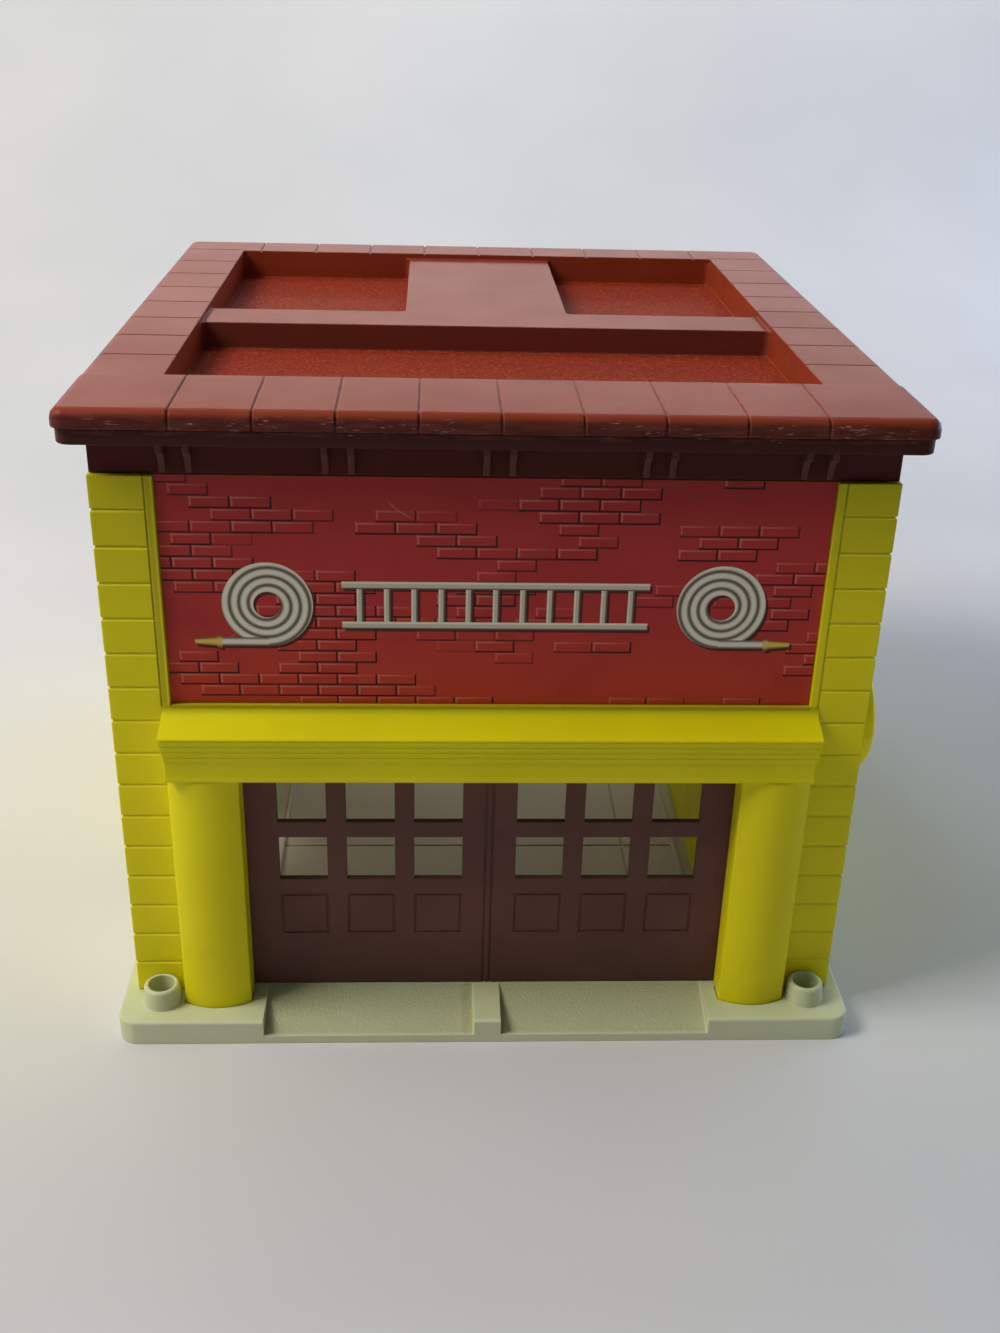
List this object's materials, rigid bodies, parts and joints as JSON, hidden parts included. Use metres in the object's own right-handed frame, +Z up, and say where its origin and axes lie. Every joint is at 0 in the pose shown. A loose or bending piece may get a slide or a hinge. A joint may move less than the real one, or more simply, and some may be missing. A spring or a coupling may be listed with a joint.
{
  "type": "toy fire station playset",
  "caption": "Moulded toy fire station with an up-and-over garage door, open back, upper floor, sunk roof trays and an alarm bell rung by a wall dial.",
  "frame": {"origin": "centre of the flat pad under the middle of the base, on the floor", "axes": "+X to the right of someone who faces the front, +Y from the front towards the open back, +Z up"},
  "size_m": [0.2773, 0.3043, 0.2347],
  "materials": {
    "base_grey": "fine moulded grain",
    "wall_yellow": "moulded satin gloss",
    "roof_maroon": "moulded satin gloss, grained tray floors",
    "door_maroon": "moulded satin",
    "dial_yellow": "moulded gloss",
    "printed_sheet": "printed self-adhesive sheet, satin",
    "steel": "bright zinc plate"
  },
  "bodies": {
    "building": {"base": "base_grey", "left_wall": "wall_yellow", "right_wall": "wall_yellow", "front_wall": "wall_yellow", "sign_panel": "printed_sheet", "canopy": "wall_yellow", "left_column": "wall_yellow", "right_column": "wall_yellow", "upper_floor": "base_grey", "roof_cap": "roof_maroon", "roof_skirt": "roof_maroon", "door_rod": "steel", "bell_housing": "wall_yellow", "gong": "steel", "gong_screw": "steel", "base_screw_1": "steel", "base_screw_2": "steel", "base_screw_3": "steel", "base_screw_4": "steel", "base_screw_5": "steel", "base_screw_6": "steel", "roof_screw_1": "steel", "roof_screw_2": "steel", "roof_screw_3": "steel", "roof_screw_4": "steel"},
    "door": {"garage_door": "door_maroon"},
    "dial": {"alarm_dial": "dial_yellow", "dial_shaft": "steel", "shaft_clip": "steel", "striker_carrier": "steel", "upper_striker_pin": "steel", "lower_striker_pin": "steel"},
    "striker_a": {"upper_striker": "steel"},
    "striker_b": {"lower_striker": "steel"}
  },
  "joints": [
    {"name": "door_hinge", "type": "hinge", "parent": "building", "child": "door", "pos_m": [0, -0.12635, 0.11], "axis": [1, 0, 0], "range_deg": [0, 90]},
    {"name": "dial_spin", "type": "hinge", "parent": "building", "child": "dial", "pos_m": [0.131, -0.097, 0.111], "axis": [1, 0, 0], "continuous": true},
    {"name": "upper_striker_swing", "type": "hinge", "parent": "dial", "child": "striker_a", "pos_m": [0.1058, -0.097, 0.12], "axis": [1, 0, 0], "range_deg": [0, 75]},
    {"name": "lower_striker_swing", "type": "hinge", "parent": "dial", "child": "striker_b", "pos_m": [0.1058, -0.097, 0.102], "axis": [1, 0, 0], "range_deg": [-75, 0]}
  ]
}
